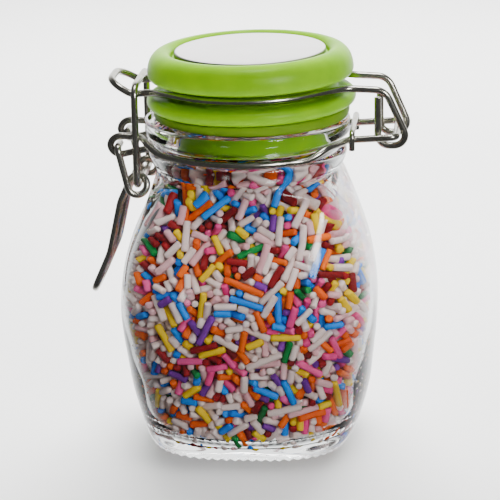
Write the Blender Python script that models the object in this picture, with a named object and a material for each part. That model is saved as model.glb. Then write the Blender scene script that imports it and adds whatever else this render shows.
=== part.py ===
"""A small clip-top glass jar filled with sugar sprinkles, shut, in metres with +Z up.

The origin is on the jar's axis, on the surface it stands on. +X points to the hinge, -X to the
latch, and -Y to the front. Sizes are given in millimetres and turned to metres by MM.
"""

from math import cos, pi, radians, sin, sqrt, tan

import bmesh
import bpy
import numpy as np
from mathutils import Vector

MM = 0.001

# ---- driving dimensions, in millimetres -----------------------------------------------------
WIRE_D = 1.7                 # one gauge of round steel wire makes the whole closure
WIRE_R = WIRE_D / 2
GAP = 0.3                    # clearance between pieces that touch
LAY = WIRE_D + GAP           # centre distance of two wires that touch

COLLAR_R = 24.9              # glass collar round the mouth
BORE_R = 19.8                # mouth
RIM_Z = 80.5                 # top of the glass
GROOVE_Z = 74.0              # neck groove that the neck ring lies in
RING_R = 23.8                # neck ring, radius to the middle of the wire

LID_TILT = radians(1.1)      # the shut lid is pulled lower on its latch side
LID_X = 1.0                  # and sits a little towards the hinge
LID_SEAT_Z = 83.4            # underside of the lid's lower ring
LID_GROOVE_Z = 88.7          # groove round the lid that the bail lies in
BAIL_R = 22.0                # bail, radius to the middle of the wire
PLUG_R = 18.0                # the lid's plug inside the mouth
PLUG_Z = 75.0
DISC_R = 18.6                # steel disc let into the lid
DISC_TOP_Z = 97.3
DISC_T = 1.85

STRAND_Y = 8.6               # half spacing of the neck ring's strands at the hinge
TIE_R = 0.7                  # the tie over those strands is a thinner wire
HINGE_X = 36.3               # hinge bar
HINGE_Z = 77.3
HOOK_Y = STRAND_Y - LAY      # the bail's hooks lie just inside those strands

EYE_Y = 8.1                  # half spacing of the neck ring's eyes at the latch
PIVOT_X = -30.5              # lever pivot, in the eyes
PIVOT_Z = 74.75
CURL_X = -26.0               # middle of the lever's curls, where the link hangs
CURL_Z = 65.2
CURL_R = 2.25
LINK_Y = 10.3                # half width of the link
LINK_TOP_Z = 89.5

ROD_R = 0.88                 # a sprinkle's radius
ROD_LENGTHS = (4.0, 7.6)     # shortest and longest of the sprinkles that are modelled
ROD_SIDES = 6
SPREAD_UP = 0.7548777        # fractions that scatter the sprinkles evenly over the wall
SPREAD_ROUND = 0.5698403
RODS_ON_SIDE = 120
RODS_ON_TOP = 10
FILL_TOP_Z = 72.9            # level of the sprinkles in the neck

SECTORS = 40                 # facets round the jar
LID_SECTORS = 36
WIRE_SIDES = 6

# Outer wall: height, half width across the faces, half width across the corners.
OUTER = (
    (0.0, 24.3, 27.4), (1.5, 26.0, 28.3), (7.0, 27.9, 29.5), (14.0, 29.8, 31.3), (21.0, 30.5, 32.8),
    (28.0, 31.2, 34.2), (35.0, 31.4, 35.2), (42.0, 30.6, 35.2), (49.0, 29.1, 33.8), (56.0, 26.6, 31.8),
    (60.5, 24.2, 30.8), (63.5, 22.9, 29.8), (66.0, 22.5, 26.9), (67.6, 22.4, 22.9), (68.6, 22.7, 22.7),
    (70.0, 23.4, 23.4), (71.8, 24.0, 24.0), (73.0, 22.6, 22.6), (75.3, 22.6, 22.6),
    (76.9, 24.8, 24.8), (77.5, COLLAR_R, COLLAR_R), (79.7, COLLAR_R, COLLAR_R), (RIM_Z, 24.0, 24.0),
)
# Inner wall, from the rim down to the floor.
INNER = (
    (RIM_Z, 20.6, 20.6), (79.8, BORE_R, BORE_R), (68.0, BORE_R, BORE_R), (65.5, 19.9, 22.8),
    (62.5, 20.8, 26.6), (59.0, 22.5, 28.4), (54.0, 25.4, 30.4), (48.0, 27.7, 32.1), (41.0, 29.3, 33.7),
    (33.0, 30.0, 33.7), (25.0, 29.3, 32.3), (17.0, 28.1, 30.3), (10.0, 26.6, 28.4), (7.0, 25.6, 27.4),
    (5.2, 24.2, 26.1), (3.9, 22.6, 24.6), (3.4, 19.8, 21.7),
)
FLOOR_Z = INNER[-1][0]


# ---- helpers --------------------------------------------------------------------------------
def clear_scene():
    for old in list(bpy.data.objects):
        bpy.data.objects.remove(old, do_unlink=True)


def material(name, colour, roughness, metallic=0.0, transmission=0.0):
    made = bpy.data.materials.new(name)
    made.use_nodes = True
    shader = made.node_tree.nodes["Principled BSDF"]
    shader.inputs["Base Color"].default_value = (*colour, 1.0)
    shader.inputs["Roughness"].default_value = roughness
    shader.inputs["Metallic"].default_value = metallic
    shader.inputs["Transmission Weight"].default_value = transmission
    made.diffuse_color = (*colour, 1.0)
    return made


def add_object(name, mesh, finish=None):
    placed = bpy.data.objects.new(name, mesh)
    bpy.context.scene.collection.objects.link(placed)
    if finish is not None:
        mesh.materials.append(finish)
    return placed


def loft(name, rows, finish=None, smooth_angle=40.0, closed=False):
    """Skin over rings of points with equal counts; open ends are closed by flat caps."""
    count = len(rows[0])
    points = [tuple(np.asarray(p) * MM) for row in rows for p in row]
    faces = []
    pairs = len(rows) if closed else len(rows) - 1
    for i in range(pairs):
        here = i * count
        above = ((i + 1) % len(rows)) * count
        for j in range(count):
            k = (j + 1) % count
            faces.append((here + j, here + k, above + k, above + j))
    if not closed:
        faces.append(tuple(reversed(range(count))))
        faces.append(tuple(range((len(rows) - 1) * count, len(rows) * count)))
    mesh = bpy.data.meshes.new(name)
    mesh.from_pydata(points, [], faces)
    shell = bmesh.new()
    shell.from_mesh(mesh)
    bmesh.ops.recalc_face_normals(shell, faces=shell.faces)
    shell.to_mesh(mesh)
    shell.free()
    mesh.shade_smooth()
    mesh.set_sharp_from_angle(angle=radians(smooth_angle))
    return add_object(name, mesh, finish)


def square_ring(z, face, corner, sectors):
    """A ring at height z: a superellipse through the two half widths, a circle where they agree."""
    angles = np.arange(sectors) * 2 * pi / sectors
    power = 1.0 / (0.5 - np.log2(max(corner, face) / face))
    reach = (np.abs(np.cos(angles)) ** power + np.abs(np.sin(angles)) ** power) ** (-1 / power)
    return np.column_stack([face * reach * np.cos(angles), face * reach * np.sin(angles), np.full(sectors, z)])


def round_ring(r, z, sectors):
    return square_ring(z, r, r, sectors)


def turned(name, profile, finish, tilt=0.0, sectors=LID_SECTORS, closed=False):
    """A turned piece from (radius, height) pairs, tilted about the Y axis at the groove's height."""
    rows = [tilted(round_ring(r, z, sectors), tilt) for r, z in profile]
    return loft(name, rows, finish, closed=closed)


def tilted(points, angle):
    """Turn points about the lid groove's middle, so +X comes up, and move them to the lid's place."""
    points = np.array(points, dtype=float)
    x = points[:, 0].copy()
    z = points[:, 2] - LID_GROOVE_Z
    points[:, 0] = x * cos(angle) - z * sin(angle) + LID_X
    points[:, 2] = x * sin(angle) + z * cos(angle) + LID_GROOVE_Z
    return points


def bent(corners, arc_steps=4, closed=False):
    """A wire's middle line: straight runs between corners, each corner rounded by its own radius.

    corners are (x, y, z, radius). A radius of 0 keeps the point as it is.
    """
    knots = [(Vector(c[:3]), c[3]) for c in corners]
    last = len(knots) - 1
    line = []
    for i, (here, radius) in enumerate(knots):
        if radius == 0 or (not closed and i in (0, last)):
            line.append(here)
            continue
        back = (knots[i - 1][0] - here).normalized()
        ahead = (knots[(i + 1) % len(knots)][0] - here).normalized()
        half = back.angle(ahead) / 2
        reach = radius / tan(half)
        centre = here + (back + ahead).normalized() * (radius / sin(half))
        start = here + back * reach - centre
        end = here + ahead * reach - centre
        turn = start.angle(end)
        for step in range(arc_steps + 1):
            t = step / arc_steps
            line.append(centre + (start * sin((1 - t) * turn) + end * sin(t * turn)) / sin(turn))
    return np.array([tuple(p) for p in line])


def wire(name, line, finish, closed=False, sides=WIRE_SIDES, radius=WIRE_R):
    """A round wire along a middle line, its section carried without twist from point to point."""
    count = len(line)
    if closed:
        ways = np.roll(line, -1, axis=0) - np.roll(line, 1, axis=0)
    else:
        ways = np.gradient(line, axis=0)
    ways /= np.linalg.norm(ways, axis=1)[:, None]
    side = np.cross(ways[0], (0.3, 0.5, 0.81))
    side /= np.linalg.norm(side)
    sides_of_line = [side]
    for i in range(1, count):
        side = side - ways[i] * np.dot(side, ways[i])
        side = side / np.linalg.norm(side)
        sides_of_line.append(side)
    slip = 0.0
    if closed:
        home = side - ways[0] * np.dot(side, ways[0])
        home /= np.linalg.norm(home)
        first = sides_of_line[0]
        slip = np.arctan2(np.dot(np.cross(home, first), ways[0]), np.dot(home, first))
    angles = np.arange(sides) * 2 * pi / sides
    rows = []
    for i in range(count):
        across = sides_of_line[i]
        up = np.cross(ways[i], across)
        spin = angles + slip * i / count
        rows.append(line[i] + radius * (np.outer(np.cos(spin), across) + np.outer(np.sin(spin), up)))
    return loft(name, rows, finish, smooth_angle=65.0, closed=closed)


def mirrored(corners):
    """The same wire corners on the far side, in the opposite order."""
    return [(x, -y, z, r) for x, y, z, r in reversed(corners)]


def ease(t):
    t = min(max(t, 0.0), 1.0)
    return t * t * (3 - 2 * t)


# ---- glass jar ------------------------------------------------------------------------------
def make_jar(finish):
    rows = [square_ring(z, face, corner, SECTORS) for z, face, corner in OUTER + INNER]
    return loft("glass_jar", rows, finish, smooth_angle=60.0)


# ---- lid ------------------------------------------------------------------------------------
def make_lid(finish):
    """Two fat rings with the bail's groove between them, a plug below and a recess for the disc."""
    profile = (
        (PLUG_R - 0.6, PLUG_Z), (PLUG_R, PLUG_Z + 0.6), (PLUG_R, LID_SEAT_Z), (23.6, LID_SEAT_Z),
        (24.9, 84.2), (25.3, 85.1), (24.9, 86.4), (23.8, 87.05), (20.8, 87.3), (20.8, 90.15),
        (23.6, 90.45), (24.7, 91.1), (24.9, 92.2), (24.4, 94.6), (23.2, 96.4), (21.2, 97.2),
        (19.5, 97.1), (DISC_R + GAP, 96.7), (DISC_R + GAP, DISC_TOP_Z - DISC_T - GAP),
    )
    return turned("lid", profile, finish, LID_TILT)


def make_disc(finish):
    low = DISC_TOP_Z - DISC_T
    profile = ((DISC_R, low), (DISC_R, DISC_TOP_Z - 0.3), (DISC_R - 0.3, DISC_TOP_Z))
    return turned("lid_disc", profile, finish, LID_TILT)


def make_seal(finish):
    """A soft ring squeezed between the lid and the rim, thinner on the latch side."""
    top_z = LID_SEAT_Z - GAP
    low_z = RIM_Z + GAP
    hole_r = BORE_R - 0.5
    rows = [
        tilted(round_ring(hole_r, low_z, LID_SECTORS), 0.0),
        tilted(round_ring(23.2, low_z, LID_SECTORS), 0.0),
        tilted(round_ring(23.7, low_z + 0.6, LID_SECTORS), 0.0),
        tilted(round_ring(23.7, top_z - 0.3, LID_SECTORS), LID_TILT),
        tilted(round_ring(23.4, top_z, LID_SECTORS), LID_TILT),
        tilted(round_ring(hole_r, top_z, LID_SECTORS), LID_TILT),
    ]
    return loft("lid_seal", rows, finish, closed=True)


# ---- wire closure ---------------------------------------------------------------------------
def make_neck_ring(finish):
    """The wire round the neck: it climbs out of the groove to the hinge strands and to the eyes."""
    front = []
    for azimuth in range(-23, -161, -9):
        if azimuth > -90:
            out = ease((azimuth + 60) / 20)
            rise = ease((azimuth + 54) / 18)
            r = RING_R + 2.35 * out
        else:
            out = ease((-132 - azimuth) / 24)
            rise = ease((-138 - azimuth) / 22)
            r = RING_R + 2.15 * out
        a = radians(azimuth)
        front.append((r * cos(a), r * sin(a), GROOVE_Z + 2.6 * rise, 0))
    hinge = [
        (HINGE_X, 0.0, HINGE_Z, 0), (HINGE_X, -STRAND_Y, HINGE_Z, 1.5),
        (25.0, -STRAND_Y, GROOVE_Z + 2.6, 1.6),
    ]
    eye = [
        (-25.4, -EYE_Y, 76.9, 0.8), (-32.5, -EYE_Y, 77.2, 2.4), (-32.5, -EYE_Y, 71.9, 2.4),
        (-25.6, -EYE_Y, 73.6, 3.0), (-22.6, -EYE_Y, GROOVE_Z, 1.5),
    ]
    side = [(RING_R * cos(radians(a)), RING_R * sin(radians(a)), GROOVE_Z, 0) for a in (-170, 180, 170)]
    far = mirrored((hinge + front + eye)[1:])
    line = bent(hinge + front + eye + side + far, closed=True)
    return wire("neck_ring", line, finish, closed=True)


def make_ring_tie(finish):
    """A short wire across the hinge strands, next to the glass, with its ends hooked over them."""
    x = COLLAR_R + TIE_R + GAP
    beside = WIRE_R + GAP + TIE_R
    over_z = GROOVE_Z + 2.7 + beside
    out_y = STRAND_Y + beside
    corners = [
        (x, -out_y, 74.6, 0), (x, -out_y, over_z, 1.3), (x, out_y, over_z, 1.3), (x, out_y, 74.6, 0),
    ]
    return wire("ring_tie", bent(corners, 4), finish, radius=TIE_R)


def bail_hook(end_z):
    """From the corner over the hinge down round the hinge bar and up again to a free end."""
    return [
        (24.6, -7.6, 88.9, 5.0), (33.7, -7.5, 88.5, 3.8), (39.8, -HOOK_Y, 74.8, 2.6),
        (31.9, -HOOK_Y, 74.8, 2.6), (31.9, -HOOK_Y, end_z, 0),
    ]


def make_bail(finish):
    """The wire in the lid's groove: an upturned nose for the link, and two hooks round the hinge bar."""
    nose = [
        (-32.4, 0.0, 90.3, 0), (-32.4, -7.3, 90.3, 4.6), (-27.0, -7.85, 87.3, 3.0),
        (-22.2, -7.9, 87.8, 4.5),
    ]
    groove = []
    for azimuth in np.linspace(-135, -45, 10):
        a = radians(azimuth)
        x = BAIL_R * cos(a)
        groove.append((x + LID_X, BAIL_R * sin(a), LID_GROOVE_Z + x * tan(LID_TILT), 0))
    near = nose + groove + bail_hook(86.4)
    far = nose + groove + bail_hook(84.5)
    return wire("bail", bent(mirrored(far[1:]) + near), finish)


def make_lever(finish):
    """Pivot, strand, one turn round the link's lower bar, and a long looped handle."""
    curl_in = 194
    curl_out = 520
    curl = []
    for angle in np.linspace(curl_in, curl_out, 15):
        t = (angle - curl_in) / (curl_out - curl_in)
        a = radians(float(angle))
        y = -(LINK_Y + 0.15) + 2.9 * ease(t * 1.15 - 0.1)
        curl.append((CURL_X + CURL_R * cos(a), y, CURL_Z + CURL_R * sin(a), 0))
    start = [(PIVOT_X, -5.6, PIVOT_Z, 0), (PIVOT_X, -(LINK_Y + 0.15), PIVOT_Z, 1.3)]
    handle = [(-30.7, -7.4, 60.3, 5.0), (-33.7, -7.3, 47.3, 14.0), (-38.3, -7.0, 37.1, 4.0)]
    near = start + curl + handle
    line = bent(near + mirrored(near))
    return wire("latch_lever", line, finish)


def make_link(finish):
    """A long closed loop from the lever's curls up over the nose."""
    corners = [
        (CURL_X, -LINK_Y, CURL_Z, 1.5), (CURL_X, -LINK_Y, LINK_TOP_Z, 2.9),
        (CURL_X, LINK_Y, LINK_TOP_Z, 2.9), (CURL_X, LINK_Y, CURL_Z, 1.5),
    ]
    return wire("latch_link", bent(corners, 5, closed=True), finish, closed=True)


# ---- sprinkles ------------------------------------------------------------------------------
def wall_at(angle, z):
    """Distance from the axis to the glass's inner wall, in one direction at one height."""
    heights = [row[0] for row in reversed(INNER)]
    face = np.interp(z, heights, [row[1] for row in reversed(INNER)])
    corner = np.interp(z, heights, [row[2] for row in reversed(INNER)])
    power = 1.0 / (0.5 - np.log2(max(corner, face) / face))
    return face * (abs(cos(angle)) ** power + abs(sin(angle)) ** power) ** (-1 / power)


def room_for_rod(angle, z):
    """Largest distance from the axis at which a sprinkle's middle line clears the wall."""
    slope = (wall_at(angle, z + 0.5) - wall_at(angle, z - 0.5))
    return wall_at(angle, z) - (ROD_R + GAP + 0.25) * sqrt(1 + slope * slope)


def rod(name, middle, way, length):
    """A sprinkle: a short rod with few sides."""
    line = np.array([middle - way * length / 2, middle + way * length / 2])
    return wire(name, line, None, sides=ROD_SIDES, radius=ROD_R)


def side_rods(draw, lengths):
    """Sprinkles spread evenly over the wall by two unrelated fractions, each lying along the glass."""
    low_z = FLOOR_Z + ROD_R + GAP + 0.9
    high_z = FILL_TOP_Z - 1.6
    placed = []
    for i, length in enumerate(lengths):
        z = low_z + (high_z - low_z) * ((0.5 + i * SPREAD_UP) % 1.0)
        angle = 2 * pi * (i * SPREAD_ROUND % 1.0)
        lean = draw.uniform(0, pi)
        around = np.array([-sin(angle), cos(angle), 0.0])
        slope = (wall_at(angle, z + 1.0) - wall_at(angle, z - 1.0)) / 2
        upward = np.array([slope * cos(angle), slope * sin(angle), 1.0])
        upward /= np.linalg.norm(upward)
        way = around * cos(lean) + upward * sin(lean)
        r = room_for_rod(angle, z)
        middle = np.array([r * cos(angle), r * sin(angle), z])
        middle[2] += max(0.0, low_z - 0.9 - (middle[2] - abs(way[2]) * length / 2))
        middle[2] -= max(0.0, (middle[2] + abs(way[2]) * length / 2) - (FILL_TOP_Z - 0.3))
        for _ in range(4):
            excess = 0.0
            for t in (-0.5, -0.25, 0.0, 0.25, 0.5):
                p = middle + way * length * t
                excess = max(excess, np.hypot(p[0], p[1]) - room_for_rod(np.arctan2(p[1], p[0]), p[2]))
            middle[:2] -= excess * middle[:2] / np.hypot(middle[0], middle[1])
        placed.append((middle, way, length))
    return placed


def top_rods(draw, lengths):
    """Sprinkles lying on the heap's top, in the neck."""
    placed = []
    for i, length in enumerate(lengths):
        r = 15.2 * sqrt((i + 0.5) / len(lengths))
        angle = i * pi * (3 - sqrt(5))
        lean = draw.uniform(0, pi)
        way = np.array([cos(lean), sin(lean), 0.0])
        placed.append((np.array([r * cos(angle), r * sin(angle), FILL_TOP_Z - 0.75]), way, length))
    return placed


def core_rows(sink):
    """Rings of the heap's core, sunk below the sprinkles that lie against the glass."""
    heights = (FLOOR_Z + 0.9, FLOOR_Z + 2.1, 9.0, 16.0, 24.0, 32.0, 41.0, 49.0, 56.0, 61.0, 65.0, 68.0,
               FILL_TOP_Z - 2.4, FILL_TOP_Z - 0.9)
    sectors = 28
    rows = []
    for i, z in enumerate(heights):
        edge = {0: 5.0, 1: 1.8, len(heights) - 1: 2.2}.get(i, 0.0)
        ring = []
        for j in range(sectors):
            a = 2 * pi * j / sectors
            wave = 0.22 * sin(5 * a + 1.3 * i) + 0.18 * sin(11 * a - 2.1 * i)
            r = wall_at(a, z) - sink - edge + wave
            ring.append((r * cos(a), r * sin(a), z))
        rows.append(np.array(ring))
    return rows


def fuse(core, pieces):
    """Join a collection of sprinkles to the core by one union, and keep its outer skin alone."""
    group = bpy.data.collections.new("sprinkle_pieces")
    for piece in pieces:
        bpy.context.scene.collection.objects.unlink(piece)
        group.objects.link(piece)
    join = core.modifiers.new("join", "BOOLEAN")
    join.operation = "UNION"
    join.operand_type = "COLLECTION"
    join.collection = group
    join.solver = "MANIFOLD"
    bpy.context.scene.collection.children.link(group)
    joined = bpy.data.meshes.new_from_object(core.evaluated_get(bpy.context.evaluated_depsgraph_get()))
    core.modifiers.remove(join)
    core.data = joined
    for piece in pieces:
        bpy.data.objects.remove(piece, do_unlink=True)
    bpy.data.collections.remove(group)
    keep_largest_shell(joined)
    joined.shade_smooth()
    joined.set_sharp_from_angle(angle=radians(40.0))


def keep_largest_shell(mesh):
    """Drop sealed hollows and loose scraps: every shell but the one with most faces."""
    body = bmesh.new()
    body.from_mesh(mesh)
    body.faces.ensure_lookup_table()
    seen = set()
    shells = []
    for face in body.faces:
        if face.index in seen:
            continue
        stack = [face]
        seen.add(face.index)
        shell = []
        while stack:
            here = stack.pop()
            shell.append(here)
            for edge in here.edges:
                for other in edge.link_faces:
                    if other.index not in seen:
                        seen.add(other.index)
                        stack.append(other)
        shells.append(shell)
    shells.sort(key=len)
    spare = [face for shell in shells[:-1] for face in shell]
    bmesh.ops.delete(body, geom=spare, context="FACES")
    body.to_mesh(mesh)
    body.free()


def make_sprinkles(finish):
    """The heap out to its uneven outline: a core with sprinkles of true size fused on."""
    draw = np.random.default_rng(7)
    lengths = np.sort(draw.uniform(*ROD_LENGTHS, RODS_ON_SIDE))[::-1]
    top_lengths = np.sort(draw.uniform(*ROD_LENGTHS, RODS_ON_TOP))[::-1]
    core = loft("sprinkles", core_rows(ROD_R * 2 + 0.1), finish, smooth_angle=60.0)
    laid = side_rods(draw, lengths) + top_rods(draw, top_lengths)
    pieces = [rod("piece", middle, way, length) for middle, way, length in laid]
    fuse(core, pieces)
    return core


# ---- assembly -------------------------------------------------------------------------------
def main():
    clear_scene()
    glass = material("soda_lime_glass", (0.90, 0.93, 0.92), 0.03, transmission=1.0)
    green = material("green_polypropylene", (0.30, 0.47, 0.04), 0.35)
    soft = material("green_seal", (0.17, 0.26, 0.02), 0.5)
    steel = material("steel_wire", (0.55, 0.54, 0.50), 0.25, metallic=1.0)
    satin = material("satin_steel_disc", (0.86, 0.85, 0.83), 0.35, metallic=1.0)
    sugar = material("sugar_sprinkles", (0.60, 0.38, 0.34), 0.6)
    make_jar(glass)
    make_lid(green)
    make_disc(satin)
    make_seal(soft)
    make_neck_ring(steel)
    make_ring_tie(steel)
    make_bail(steel)
    make_lever(steel)
    make_link(steel)
    make_sprinkles(sugar)


main()
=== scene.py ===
# %% [markdown]
# # A clip-top jar of sugar sprinkles
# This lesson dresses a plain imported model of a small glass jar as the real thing: smooth glass, a
# moulded green lid, bent steel wire and four thousand sugar sprinkles.
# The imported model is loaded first, as a fixed frame. Every piece made here lies in the same place as
# the part of the frame that it stands for, so nothing is ever fitted or moved afterwards. Sizes are
# written in millimetres, and turned to metres where they reach Blender.

# %% Load the frame
from itertools import product
from math import cos, pi, radians, sin, tan

import bpy
import numpy as np
from mathutils import Matrix, Vector


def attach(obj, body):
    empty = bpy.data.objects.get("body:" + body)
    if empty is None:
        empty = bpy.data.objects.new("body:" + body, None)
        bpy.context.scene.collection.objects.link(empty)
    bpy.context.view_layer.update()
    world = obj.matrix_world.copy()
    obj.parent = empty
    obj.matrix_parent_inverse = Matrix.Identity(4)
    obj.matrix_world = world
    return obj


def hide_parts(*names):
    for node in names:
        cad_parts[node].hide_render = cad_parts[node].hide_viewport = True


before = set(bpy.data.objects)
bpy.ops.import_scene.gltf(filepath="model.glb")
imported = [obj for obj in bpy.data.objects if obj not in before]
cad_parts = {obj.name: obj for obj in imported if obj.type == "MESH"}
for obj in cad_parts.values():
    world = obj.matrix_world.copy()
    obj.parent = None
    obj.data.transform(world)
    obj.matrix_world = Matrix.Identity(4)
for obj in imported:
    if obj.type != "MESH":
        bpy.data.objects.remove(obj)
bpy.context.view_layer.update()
MM = 0.001
print("nodes of the frame:", sorted(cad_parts))

# %% [markdown]
# ## The camera
# A product picture is taken from far away with a long lens, so that the jar shows little perspective.
# This one stands 523 mm from the jar's axis and 207 mm above the table, turned 6 degrees towards the
# hinge, and it leans 1.1 degrees. A Track To constraint could aim it but not lean it, so its three
# axes are worked out and written straight into its matrix.

# %% Camera
CAMERA_FAR = 523.2
CAMERA_HIGH = 207.5
CAMERA_TURN = radians(6.0)
CAMERA_LEAN = radians(-1.1)
LOOK_HIGH = 46.2
LENS = 159.55
NEAREST_SEEN = 10.0


def shown(name, data):
    """A new object in the scene."""
    made = bpy.data.objects.new(name, data)
    bpy.context.scene.collection.objects.link(made)
    return made


def place_camera():
    """Right, up and backward axes: look from the eye to the aim, then roll the pair by the lean."""
    eye = Vector((CAMERA_FAR * sin(CAMERA_TURN), -CAMERA_FAR * cos(CAMERA_TURN), CAMERA_HIGH))
    ahead = (Vector((0, 0, LOOK_HIGH)) - eye).normalized()
    level = ahead.cross(Vector((0, 0, 1))).normalized()
    upright = level.cross(ahead)
    right = level * cos(CAMERA_LEAN) + upright * sin(CAMERA_LEAN)
    up = upright * cos(CAMERA_LEAN) - level * sin(CAMERA_LEAN)
    data = bpy.data.cameras.new("camera")
    data.lens = LENS
    data.clip_start = NEAREST_SEEN * MM
    made = shown("camera", data)
    axes = Matrix((right, up, -ahead)).transposed().to_4x4()
    made.matrix_world = Matrix.Translation(eye * MM) @ axes
    bpy.context.scene.camera = made
    return made


camera = place_camera()
print("camera at, m:", [round(v, 3) for v in camera.location])

# %% [markdown]
# ## Small tools
# Every new shape is a grid of points worked out with numpy, put into a mesh in one step. Rows run
# along the piece and columns run round it. The first and the last row each get one middle vertex and
# a fan of triangles, so no piece has an open end. Curves and modifiers could give the same shapes, but
# here every size stays a number that can be read.


# %% Grid to mesh
def mesh_of(name, points, face_sets):
    """Points in millimetres, and faces as arrays with one row of corner numbers for each face."""
    mesh = bpy.data.meshes.new(name)
    corners = np.concatenate([faces.ravel() for faces in face_sets])
    sizes = np.concatenate([np.full(len(faces), faces.shape[1]) for faces in face_sets])
    starts = np.concatenate([[0], np.cumsum(sizes)[:-1]])
    mesh.vertices.add(len(points))
    mesh.vertices.foreach_set("co", (np.asarray(points) * MM).astype(np.float32).ravel())
    mesh.loops.add(len(corners))
    mesh.loops.foreach_set("vertex_index", corners.astype(np.int32))
    mesh.polygons.add(len(sizes))
    mesh.polygons.foreach_set("loop_start", starts.astype(np.int32))
    mesh.update(calc_edges=True)
    mesh.shade_smooth()
    return mesh


def grid_faces(rows, columns, ring=False):
    """Four corners for each cell: here, next column, next column one row on, one row on."""
    last = rows if ring else rows - 1
    i, j = np.meshgrid(np.arange(last), np.arange(columns), indexing="ij")
    k = (j + 1) % columns
    up = (i + 1) % rows
    cells = np.stack([i * columns + j, i * columns + k, up * columns + k, up * columns + j], axis=-1)
    return cells.reshape(-1, 4)


def end_fans(rows, columns):
    """Triangles from the first and last row to the two middle vertices that follow the grid's own."""
    j = np.arange(columns)
    k = (j + 1) % columns
    base = (rows - 1) * columns
    first = np.stack([k, j, np.full(columns, rows * columns)], axis=-1)
    last = np.stack([base + j, base + k, np.full(columns, rows * columns + 1)], axis=-1)
    return np.concatenate([first, last])


def skin(name, grid, ring=False):
    """A closed skin over grid[row, column]: columns always join up, rows join up or end in fans."""
    rows, columns = grid.shape[:2]
    points = grid.reshape(-1, 3)
    faces = [grid_faces(rows, columns, ring)]
    if not ring:
        ends = np.stack([grid[0].mean(axis=0), grid[-1].mean(axis=0)])
        points = np.concatenate([points, ends])
        faces.append(end_fans(rows, columns))
    return mesh_of(name, points, faces)


def signed_volume(mesh):
    """A sixth of the sum of corner products over all triangles: above zero when faces point out."""
    mesh.calc_loop_triangles()
    spots = np.empty(len(mesh.vertices) * 3)
    mesh.vertices.foreach_get("co", spots)
    corners = np.empty(len(mesh.loop_triangles) * 3, dtype=np.int32)
    mesh.loop_triangles.foreach_get("vertices", corners)
    a, b, c = spots.reshape(-1, 3)[corners.reshape(-1, 3)].transpose(1, 0, 2)
    return float(np.einsum("ij,ij->i", a, np.cross(b, c)).sum() / 6)


def add_piece(name, mesh, finish, slot, *nodes):
    """Show a mesh as a piece that rides on the jar and stands for nodes of the frame."""
    volume = signed_volume(mesh)
    if volume < 0:
        mesh.flip_normals()
    piece = shown(name, mesh)
    mesh.materials.append(finish)
    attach(piece, "root")
    if nodes:
        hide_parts(*nodes)
    print(f"{name}: {len(mesh.loop_triangles)} triangles, {abs(volume) * 1e6:.2f} cm3")


# %% [markdown]
# Turned and moulded pieces start from a few control points. Cutting each corner of the line at a
# quarter and three quarters of its sides, twice over, gives the soft radii of a mould.


# %% Soft profiles
def full_turn(count):
    """Angles of count even steps round a circle."""
    return np.arange(count) * 2 * pi / count


def softened(points, ring=False):
    """Corner cutting, twice: each side keeps its points at 1/4 and 3/4, and open ends stay put."""
    line = np.asarray(points, dtype=float)
    for _ in range(2):
        ahead = np.roll(line, -1, axis=0)
        cut = np.stack([line * 0.75 + ahead * 0.25, line * 0.25 + ahead * 0.75], axis=1)
        cut = cut.reshape(-1, line.shape[1])
        if not ring:
            cut = np.concatenate([line[:1], cut[:-2], line[-1:]])
        line = cut
    return line


def turned(profile, sectors=192):
    """Turn (radius, height) pairs about Z: x = r cos a, y = r sin a, z = height."""
    angles = full_turn(sectors)
    r = profile[:, 0, None]
    z = np.broadcast_to(profile[:, 1, None], (len(profile), sectors))
    return np.stack([r * np.cos(angles), r * np.sin(angles), z], axis=-1)


# %% [markdown]
# ## Materials
# Each finish is named for the real stuff and for how its surface was made. Colours are written as
# sRGB hex, as a paint chart gives them, and turned to the linear values that the shader mixes.
# Patterns are sized in real millimetres.


# %% Node helpers
def linear(code):
    """sRGB hex to linear: c / 12.92 below 0.04045, else ((c + 0.055) / 1.055) ** 2.4."""
    parts = [int(code[i:i + 2], 16) / 255 for i in (1, 3, 5)]
    return (*[c / 12.92 if c <= 0.04045 else ((c + 0.055) / 1.055) ** 2.4 for c in parts], 1.0)


def node(tree, kind, settings=None, **links):
    """Add a node: settings name its properties or sockets, links name the sockets to join."""
    made = tree.nodes.new(kind)
    for key, value in (settings or {}).items():
        if hasattr(made, key):
            setattr(made, key, value)
        else:
            made.inputs[key].default_value = value
    for key, source in links.items():
        place = int(key[1:]) if key[0] == "_" else key.replace("_", " ")
        tree.links.new(source, made.inputs[place])
    return made


def finish_named(name, **sockets):
    """A material whose Principled shader has these socket values; returns material, tree, shader."""
    made = bpy.data.materials.new(name)
    made.use_nodes = True
    tree = made.node_tree
    shader = tree.nodes["Principled BSDF"]
    for key, value in sockets.items():
        shader.inputs[key.replace("_", " ")].default_value = value
    return made, tree, shader


def ramp_between(tree, low, high, source, start=0.0, end=1.0):
    """A two-colour ramp between hex codes, read by a value."""
    made = node(tree, "ShaderNodeValToRGB", Fac=source)
    made.color_ramp.elements[0].position = start
    made.color_ramp.elements[1].position = end
    made.color_ramp.elements[0].color = linear(low)
    made.color_ramp.elements[1].color = linear(high)
    return made.outputs["Color"]


def grain(tree, size_mm, detail=3.0, rough=0.55):
    """Noise on Object coordinates whose blotches measure size_mm."""
    where = node(tree, "ShaderNodeTexCoord").outputs["Object"]
    settings = {"Scale": 1 / (size_mm * MM), "Detail": detail, "Roughness": rough}
    return node(tree, "ShaderNodeTexNoise", settings, Vector=where).outputs["Fac"]


def bumped(tree, shader, height, strength, distance_mm):
    """Tilt the shading by a height pattern."""
    settings = {"Strength": strength, "Distance": distance_mm * MM}
    relief = node(tree, "ShaderNodeBump", settings, Height=height)
    tree.links.new(relief.outputs["Normal"], shader.inputs["Normal"])


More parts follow.
